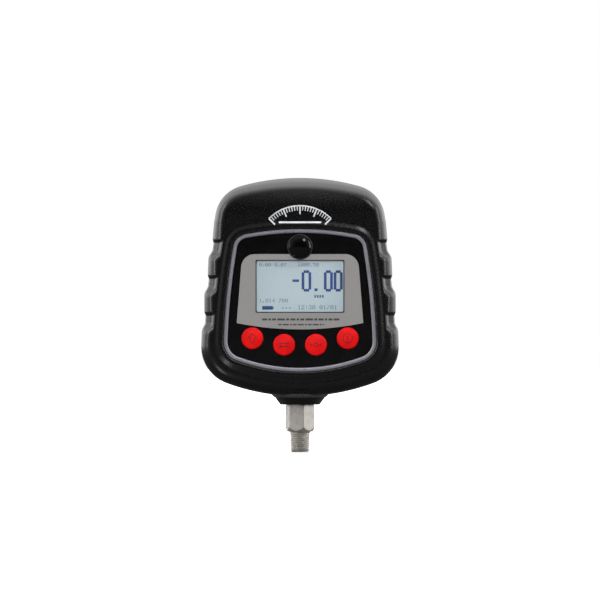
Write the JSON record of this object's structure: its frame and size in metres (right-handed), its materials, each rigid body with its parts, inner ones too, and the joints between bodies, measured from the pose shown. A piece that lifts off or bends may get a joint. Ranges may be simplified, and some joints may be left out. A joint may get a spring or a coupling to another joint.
{
  "type": "digital pressure gauge",
  "caption": "Hand-held digital pressure gauge in a black rubber boot with finger grips, a graphic display, round keys, and a male taper-thread port under it.",
  "frame": {"origin": "on the port's axis, at the lower end face of its thread, where the pressure inlet opens", "axes": "+Z from the port up through the body, the display faces -Y, +X to the right as the display is read"},
  "size_m": [0.1306, 0.0462, 0.1816],
  "materials": {
    "boot_rubber": "satin moulded elastomer",
    "case_plastic": "fine texture",
    "seal_rubber": "smooth",
    "screw_steel": "zinc plated",
    "trim_silver": "satin silver lacquer",
    "overlay_black": "gloss",
    "panel_silver": "matt silver",
    "window_clear": "clear",
    "lens_black": "polished",
    "lens_bezel": "dark satin",
    "mat_grey": "silicone",
    "switch_black": "moulded",
    "tin_plate": "tin plated",
    "lcd_glass": "flat",
    "backlight_white": "white",
    "board_green": "solder mask",
    "chip_black": "moulded",
    "stainless": "turned",
    "collar_black": "satin",
    "ribbon_film": "polyimide film",
    "cell_sleeve": "printed sleeve",
    "key_red": "satin",
    "brass": "turned"
  },
  "bodies": {
    "housing": {"battery_cells": "cell_sleeve", "battery_contacts": "tin_plate", "battery_springs": "tin_plate", "battery_tray": "case_plastic", "board_components": "chip_black", "board_screws": "screw_steel", "buzzer": "chip_black", "case_gasket": "seal_rubber", "case_screws": "screw_steel", "clock_cell": "tin_plate", "clock_cell_holder": "chip_black", "display_panel": "panel_silver", "display_window": "window_clear", "door_inserts": "brass", "fitting_nut": "stainless", "fitting_seal": "seal_rubber", "fitting_washer": "stainless", "front_case": "case_plastic", "front_overlay": "overlay_black", "keypad_mat": "mat_grey", "lcd_backlight": "backlight_white", "lcd_connector": "mat_grey", "lcd_frame": "tin_plate", "lcd_glass": "lcd_glass", "main_board": "board_green", "port_collar": "collar_black", "pressure_fitting": "stainless", "rear_case": "case_plastic", "rubber_boot": "boot_rubber", "sensor_cap": "chip_black", "sensor_capsule": "stainless", "sensor_lens": "lens_black", "sensor_lens_ring": "lens_bezel", "sensor_ribbon": "ribbon_film", "tact_switches": "switch_black", "trim_ring": "trim_silver"},
    "key_up": {"key_up_cap": "key_red", "key_up_plunger": "switch_black"},
    "key_units": {"key_units_cap": "key_red", "key_units_plunger": "switch_black"},
    "key_zero": {"key_zero_cap": "key_red", "key_zero_plunger": "switch_black"},
    "key_power": {"key_power_cap": "key_red", "key_power_plunger": "switch_black"},
    "battery_door": {"battery_door": "case_plastic", "door_gasket": "seal_rubber"},
    "door_screw_left": {"door_screw_left": "screw_steel"},
    "door_screw_right": {"door_screw_right": "screw_steel"}
  },
  "joints": [
    {"name": "key_up_press", "type": "slide", "parent": "housing", "child": "key_up", "axis": [0, 1, 0], "range_m": [0, 0.0008], "stiffness_N_per_m": 2500},
    {"name": "key_units_press", "type": "slide", "parent": "housing", "child": "key_units", "axis": [0, 1, 0], "range_m": [0, 0.0008], "stiffness_N_per_m": 2500},
    {"name": "key_zero_press", "type": "slide", "parent": "housing", "child": "key_zero", "axis": [0, 1, 0], "range_m": [0, 0.0008], "stiffness_N_per_m": 2500},
    {"name": "key_power_press", "type": "slide", "parent": "housing", "child": "key_power", "axis": [0, 1, 0], "range_m": [0, 0.0008], "stiffness_N_per_m": 2500},
    {"name": "battery_door_lift", "type": "slide", "parent": "housing", "child": "battery_door", "axis": [0, 1, 0], "range_m": [0, 0.03]},
    {"name": "door_screw_left_turn", "type": "hinge", "parent": "battery_door", "child": "door_screw_left", "pos_m": [-0.017, 0.0214, 0.096], "axis": [0, 1, 0], "continuous": true},
    {"name": "door_screw_right_turn", "type": "hinge", "parent": "battery_door", "child": "door_screw_right", "pos_m": [0.017, 0.0214, 0.096], "axis": [0, 1, 0], "continuous": true}
  ]
}
